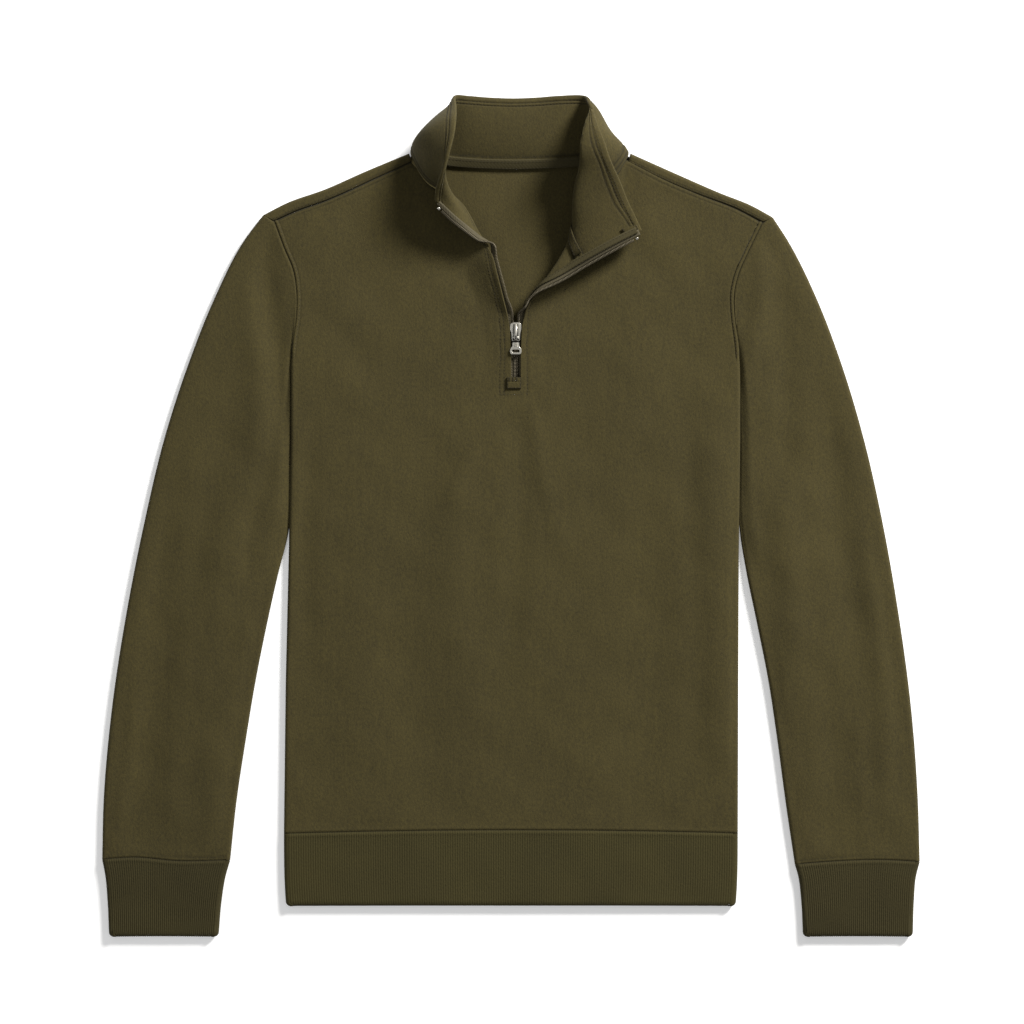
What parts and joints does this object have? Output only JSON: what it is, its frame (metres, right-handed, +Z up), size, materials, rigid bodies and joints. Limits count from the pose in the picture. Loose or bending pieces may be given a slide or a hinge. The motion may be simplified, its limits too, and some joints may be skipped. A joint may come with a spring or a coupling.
{
  "type": "quarter zip sweater",
  "caption": "Quarter zip sweater laid flat on its back with the stand collar opened, ribbed cuffs and hem, and a metal zip with a hinged pull tab.",
  "frame": {"origin": "on the surface the sweater lies on, under the middle of its overall width and length", "axes": "+Z up from the surface through the back and then the front; +Y from hem to collar; +X towards the wearer's left sleeve"},
  "size_m": [0.7676, 0.7883, 0.0552],
  "materials": {
    "mat_back_panel": "brushed knit, matt",
    "mat_front_panel": "brushed knit, matt",
    "mat_sleeve_right": "brushed knit, matt",
    "mat_sleeve_left": "brushed knit, matt",
    "mat_cuff_right": "ribbed knit, matt",
    "mat_cuff_left": "ribbed knit, matt",
    "mat_hem_band": "ribbed knit, matt",
    "mat_collar": "brushed knit, matt",
    "mat_neck_tape": "brushed knit, matt",
    "mat_zip_facing": "brushed knit, matt",
    "mat_zip_tape_right": "woven tape, matt",
    "mat_zip_tape_left": "woven tape, matt",
    "mat_zip_chain_right": "dark gunmetal plate",
    "mat_zip_chain_left": "dark gunmetal plate",
    "mat_zip_stop_right": "polished nickel plate",
    "mat_zip_stop_left": "polished nickel plate",
    "mat_zip_end_patch": "ribbed knit, matt",
    "mat_zip_slider": "polished nickel plate",
    "mat_zip_pull": "polished nickel plate"
  },
  "bodies": {
    "garment": {"back_panel": "mat_back_panel", "front_panel": "mat_front_panel", "sleeve_right": "mat_sleeve_right", "sleeve_left": "mat_sleeve_left", "cuff_right": "mat_cuff_right", "cuff_left": "mat_cuff_left", "hem_band": "mat_hem_band", "collar": "mat_collar", "neck_tape": "mat_neck_tape", "zip_facing": "mat_zip_facing", "zip_tape_right": "mat_zip_tape_right", "zip_tape_left": "mat_zip_tape_left", "zip_chain_right": "mat_zip_chain_right", "zip_chain_left": "mat_zip_chain_left", "zip_stop_right": "mat_zip_stop_right", "zip_stop_left": "mat_zip_stop_left", "zip_end_patch": "mat_zip_end_patch", "zip_slider": "mat_zip_slider"},
    "pull_tab": {"zip_pull": "mat_zip_pull"}
  },
  "joints": [
    {"name": "pull_tab_hinge", "type": "hinge", "parent": "garment", "child": "pull_tab", "pos_m": [0.00495, 0.1669, 0.0101], "axis": [-1, 0, 0], "range_deg": [0, 140]}
  ]
}
